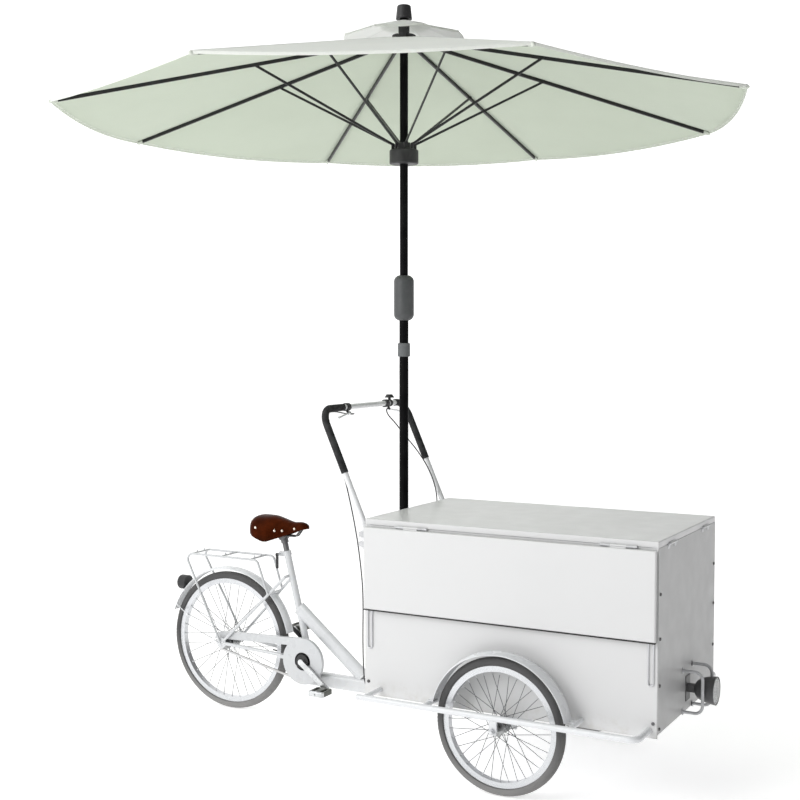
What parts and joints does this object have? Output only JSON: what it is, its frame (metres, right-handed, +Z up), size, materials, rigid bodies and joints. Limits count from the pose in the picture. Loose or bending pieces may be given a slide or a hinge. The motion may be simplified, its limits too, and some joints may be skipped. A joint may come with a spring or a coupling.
{
  "type": "snack vending cart",
  "caption": "Cargo tricycle for street vending: a lidded sheet-metal box with side flaps, a push bar, a bicycle rear end and a folding market umbrella on a telescopic mast.",
  "frame": {"origin": "on the ground under the umbrella mast, which is the middle of the bounding box's base", "axes": "+X forward towards the headlamp, +Y to the rider's left, +Z up along the mast"},
  "size_m": [2.8432, 2.8432, 3.079],
  "materials": {
    "frame_white": "gloss",
    "box_grey": "satin",
    "hardware_steel": "satin",
    "tyre_black": "matte",
    "wheel_silver": "polished",
    "bar_chrome": "polished",
    "lever_silver": "polished",
    "foam_black": "matte",
    "fitting_black": "satin",
    "cable_black": "satin",
    "lamp_grey": "satin",
    "lamp_glass": "clear",
    "mast_black": "satin",
    "pod_grey": "satin",
    "winch_black": "satin",
    "rib_dark": "satin",
    "canopy_cloth": "matte",
    "drive_steel": "satin",
    "ring_black": "satin",
    "pedal_black": "matte",
    "saddle_steel": "polished",
    "saddle_leather": "satin"
  },
  "bodies": {
    "carriage": {"carriage_frame": "frame_white", "box_shell": "box_grey", "box_hardware": "hardware_steel", "front_mudguards": "frame_white", "handlebar": "bar_chrome", "grips": "foam_black", "bar_fittings": "fitting_black", "brake_cables": "cable_black", "headlamp": "lamp_grey", "headlamp_lens": "lamp_glass", "mast_lower": "mast_black", "winch_pod": "pod_grey"},
    "lid_body": {"lid": "box_grey"},
    "flap_right_body": {"flap_right": "box_grey"},
    "flap_left_body": {"flap_left": "box_grey"},
    "stays_right": {"flap_stays_right": "hardware_steel"},
    "stays_left": {"flap_stays_left": "hardware_steel"},
    "wheel_right": {"front_tyre_right": "tyre_black", "front_wheel_right": "wheel_silver"},
    "wheel_left": {"front_tyre_left": "tyre_black", "front_wheel_left": "wheel_silver"},
    "rear_end": {"rear_frame": "frame_white", "chain": "drive_steel", "chain_case": "frame_white", "rear_mudguard": "frame_white", "rack": "frame_white", "tail_light": "fitting_black"},
    "wheel_rear": {"rear_tyre": "tyre_black", "rear_wheel": "wheel_silver"},
    "crank": {"crankset": "drive_steel", "chainring": "ring_black"},
    "pedal_right_body": {"pedal_right": "pedal_black"},
    "pedal_left_body": {"pedal_left": "pedal_black"},
    "seat": {"seatpost": "lever_silver", "saddle_frame": "saddle_steel", "saddle_cover": "saddle_leather"},
    "seat_lever_body": {"seat_lever": "fitting_black"},
    "lever_right": {"brake_lever_right": "lever_silver"},
    "lever_left": {"brake_lever_left": "lever_silver"},
    "mast": {"mast_upper": "mast_black", "top_hub": "winch_black", "canopy": "canopy_cloth"},
    "runner_body": {"runner": "winch_black"},
    "winch": {"winch_handle": "winch_black"},
    "rib_1_body": {"rib_1": "rib_dark"},
    "rib_2_body": {"rib_2": "rib_dark"},
    "rib_3_body": {"rib_3": "rib_dark"},
    "rib_4_body": {"rib_4": "rib_dark"},
    "rib_5_body": {"rib_5": "rib_dark"},
    "rib_6_body": {"rib_6": "rib_dark"},
    "rib_7_body": {"rib_7": "rib_dark"},
    "rib_8_body": {"rib_8": "rib_dark"},
    "stretcher_1_body": {"stretcher_1": "rib_dark"},
    "stretcher_2_body": {"stretcher_2": "rib_dark"},
    "stretcher_3_body": {"stretcher_3": "rib_dark"},
    "stretcher_4_body": {"stretcher_4": "rib_dark"},
    "stretcher_5_body": {"stretcher_5": "rib_dark"},
    "stretcher_6_body": {"stretcher_6": "rib_dark"},
    "stretcher_7_body": {"stretcher_7": "rib_dark"},
    "stretcher_8_body": {"stretcher_8": "rib_dark"}
  },
  "joints": [
    {"name": "steering", "type": "hinge", "parent": "carriage", "child": "rear_end", "pos_m": [0.56, 0, 0.195], "axis": [0, 0, 1], "range_deg": [-35, 35]},
    {"name": "lid_hinge", "type": "hinge", "parent": "carriage", "child": "lid_body", "pos_m": [1.23, 0, 0.96275], "axis": [0, 1, 0], "range_deg": [0, 50]},
    {"name": "flap_right_hinge", "type": "hinge", "parent": "carriage", "child": "flap_right_body", "pos_m": [0.626, -0.3765, 0.962], "axis": [-1, 0, 0], "range_deg": [0, 90]},
    {"name": "flap_left_hinge", "type": "hinge", "parent": "carriage", "child": "flap_left_body", "pos_m": [0.626, 0.3765, 0.962], "axis": [1, 0, 0], "range_deg": [0, 90]},
    {"name": "stays_right_swing", "type": "hinge", "parent": "flap_right_body", "child": "stays_right", "pos_m": [0.626, -0.3743, 0.767], "axis": [1, 0, 0], "range_deg": [0, 131.1]},
    {"name": "stays_left_swing", "type": "hinge", "parent": "flap_left_body", "child": "stays_left", "pos_m": [0.626, 0.3743, 0.767], "axis": [-1, 0, 0], "range_deg": [0, 131.1]},
    {"name": "wheel_right_spin", "type": "hinge", "parent": "carriage", "child": "wheel_right", "pos_m": [0.648, -0.44, 0.26], "axis": [0, 1, 0], "continuous": true},
    {"name": "wheel_left_spin", "type": "hinge", "parent": "carriage", "child": "wheel_left", "pos_m": [0.648, 0.44, 0.26], "axis": [0, 1, 0], "continuous": true},
    {"name": "wheel_rear_spin", "type": "hinge", "parent": "rear_end", "child": "wheel_rear", "pos_m": [-0.902, 0, 0.315], "axis": [0, 1, 0], "continuous": true},
    {"name": "crank_spin", "type": "hinge", "parent": "rear_end", "child": "crank", "pos_m": [-0.474, 0, 0.279], "axis": [0, 1, 0], "continuous": true},
    {"name": "pedal_right_spin", "type": "hinge", "parent": "crank", "child": "pedal_right_body", "pos_m": [-0.34161, -0.134, 0.17557], "axis": [0, 1, 0], "continuous": true},
    {"name": "pedal_left_spin", "type": "hinge", "parent": "crank", "child": "pedal_left_body", "pos_m": [-0.60639, 0.134, 0.38243], "axis": [0, 1, 0], "continuous": true},
    {"name": "seat_slide", "type": "slide", "parent": "rear_end", "child": "seat", "axis": [-0.2488, 0, 0.9685], "range_m": [-0.03, 0.08]},
    {"name": "seat_lever_turn", "type": "hinge", "parent": "rear_end", "child": "seat_lever_body", "pos_m": [-0.624, -0.034, 0.736], "axis": [-1, 0, 0], "range_deg": [0, 150]},
    {"name": "brake_right_squeeze", "type": "hinge", "parent": "carriage", "child": "lever_right", "pos_m": [-0.177, -0.15, 1.38775], "axis": [-0.866, 0, -0.5], "range_deg": [0, 12], "stiffness_Nm_per_rad": 0.5, "springref_deg": -5.73},
    {"name": "brake_left_squeeze", "type": "hinge", "parent": "carriage", "child": "lever_left", "pos_m": [-0.177, 0.18, 1.38775], "axis": [0.866, 0, 0.5], "range_deg": [0, 12], "stiffness_Nm_per_rad": 0.5, "springref_deg": -5.73},
    {"name": "umbrella_slide", "type": "slide", "parent": "mast", "child": "runner_body", "axis": [0, 0, -1], "range_m": [0, 0.818], "deforming": ["canopy"]},
    {"name": "mast_lift", "type": "slide", "parent": "carriage", "child": "mast", "axis": [0, 0, 1], "range_m": [0, 0.3655]},
    {"name": "rib_1_fold", "type": "hinge", "parent": "mast", "child": "rib_1_body", "pos_m": [0.04, 0, 2.935], "axis": [0, 1, 0], "range_deg": [0, 73.5]},
    {"name": "rib_2_fold", "type": "hinge", "parent": "mast", "child": "rib_2_body", "pos_m": [0.02828, 0.02828, 2.935], "axis": [-0.7071, 0.7071, 0], "range_deg": [0, 73.5]},
    {"name": "rib_3_fold", "type": "hinge", "parent": "mast", "child": "rib_3_body", "pos_m": [0, 0.04, 2.935], "axis": [-1, 0, 0], "range_deg": [0, 73.5]},
    {"name": "rib_4_fold", "type": "hinge", "parent": "mast", "child": "rib_4_body", "pos_m": [-0.02828, 0.02828, 2.935], "axis": [-0.7071, -0.7071, 0], "range_deg": [0, 73.5]},
    {"name": "rib_5_fold", "type": "hinge", "parent": "mast", "child": "rib_5_body", "pos_m": [-0.04, 0, 2.935], "axis": [0, -1, 0], "range_deg": [0, 73.5]},
    {"name": "rib_6_fold", "type": "hinge", "parent": "mast", "child": "rib_6_body", "pos_m": [-0.02828, -0.02828, 2.935], "axis": [0.7071, -0.7071, 0], "range_deg": [0, 73.5]},
    {"name": "rib_7_fold", "type": "hinge", "parent": "mast", "child": "rib_7_body", "pos_m": [0, -0.04, 2.935], "axis": [1, 0, 0], "range_deg": [0, 73.5]},
    {"name": "rib_8_fold", "type": "hinge", "parent": "mast", "child": "rib_8_body", "pos_m": [0.02828, -0.02828, 2.935], "axis": [0.7071, 0.7071, 0], "range_deg": [0, 73.5]},
    {"name": "stretcher_1_fold", "type": "hinge", "parent": "runner_body", "child": "stretcher_1_body", "pos_m": [0.045, 0, 2.505], "axis": [0, -1, 0], "range_deg": [0, 60.4]},
    {"name": "stretcher_2_fold", "type": "hinge", "parent": "runner_body", "child": "stretcher_2_body", "pos_m": [0.03182, 0.03182, 2.505], "axis": [0.7071, -0.7071, 0], "range_deg": [0, 60.4]},
    {"name": "stretcher_3_fold", "type": "hinge", "parent": "runner_body", "child": "stretcher_3_body", "pos_m": [0, 0.045, 2.505], "axis": [1, 0, 0], "range_deg": [0, 60.4]},
    {"name": "stretcher_4_fold", "type": "hinge", "parent": "runner_body", "child": "stretcher_4_body", "pos_m": [-0.03182, 0.03182, 2.505], "axis": [0.7071, 0.7071, 0], "range_deg": [0, 60.4]},
    {"name": "stretcher_5_fold", "type": "hinge", "parent": "runner_body", "child": "stretcher_5_body", "pos_m": [-0.045, 0, 2.505], "axis": [0, 1, 0], "range_deg": [0, 60.4]},
    {"name": "stretcher_6_fold", "type": "hinge", "parent": "runner_body", "child": "stretcher_6_body", "pos_m": [-0.03182, -0.03182, 2.505], "axis": [-0.7071, 0.7071, 0], "range_deg": [0, 60.4]},
    {"name": "stretcher_7_fold", "type": "hinge", "parent": "runner_body", "child": "stretcher_7_body", "pos_m": [0, -0.045, 2.505], "axis": [-1, 0, 0], "range_deg": [0, 60.4]},
    {"name": "stretcher_8_fold", "type": "hinge", "parent": "runner_body", "child": "stretcher_8_body", "pos_m": [0.03182, -0.03182, 2.505], "axis": [-0.7071, -0.7071, 0], "range_deg": [0, 60.4]},
    {"name": "winch_turn", "type": "hinge", "parent": "carriage", "child": "winch", "pos_m": [0, 0, 1.868], "axis": [-0.3827, 0.9239, 0], "range_deg": [0, 2165]}
  ],
  "couplings": [
    {"joint": "stays_right_swing", "follows": "flap_right_hinge", "ratio": 1.4556},
    {"joint": "stays_left_swing", "follows": "flap_left_hinge", "ratio": 1.4556},
    {"joint": "crank_spin", "follows": "wheel_rear_spin", "ratio": 0.40909},
    {"joint": "mast_lift", "follows": "umbrella_slide", "ratio": 0.44621},
    {"joint": "winch_turn", "follows": "umbrella_slide", "rad_per_m": 46.087},
    {"joint": "rib_1_fold", "follows": "umbrella_slide", "rad_per_m": 1.5661},
    {"joint": "rib_2_fold", "follows": "umbrella_slide", "rad_per_m": 1.5661},
    {"joint": "rib_3_fold", "follows": "umbrella_slide", "rad_per_m": 1.5661},
    {"joint": "rib_4_fold", "follows": "umbrella_slide", "rad_per_m": 1.5661},
    {"joint": "rib_5_fold", "follows": "umbrella_slide", "rad_per_m": 1.5661},
    {"joint": "rib_6_fold", "follows": "umbrella_slide", "rad_per_m": 1.5661},
    {"joint": "rib_7_fold", "follows": "umbrella_slide", "rad_per_m": 1.5661},
    {"joint": "rib_8_fold", "follows": "umbrella_slide", "rad_per_m": 1.5661},
    {"joint": "stretcher_1_fold", "follows": "umbrella_slide", "rad_per_m": 1.2866},
    {"joint": "stretcher_2_fold", "follows": "umbrella_slide", "rad_per_m": 1.2866},
    {"joint": "stretcher_3_fold", "follows": "umbrella_slide", "rad_per_m": 1.2866},
    {"joint": "stretcher_4_fold", "follows": "umbrella_slide", "rad_per_m": 1.2866},
    {"joint": "stretcher_5_fold", "follows": "umbrella_slide", "rad_per_m": 1.2866},
    {"joint": "stretcher_6_fold", "follows": "umbrella_slide", "rad_per_m": 1.2866},
    {"joint": "stretcher_7_fold", "follows": "umbrella_slide", "rad_per_m": 1.2866},
    {"joint": "stretcher_8_fold", "follows": "umbrella_slide", "rad_per_m": 1.2866}
  ]
}
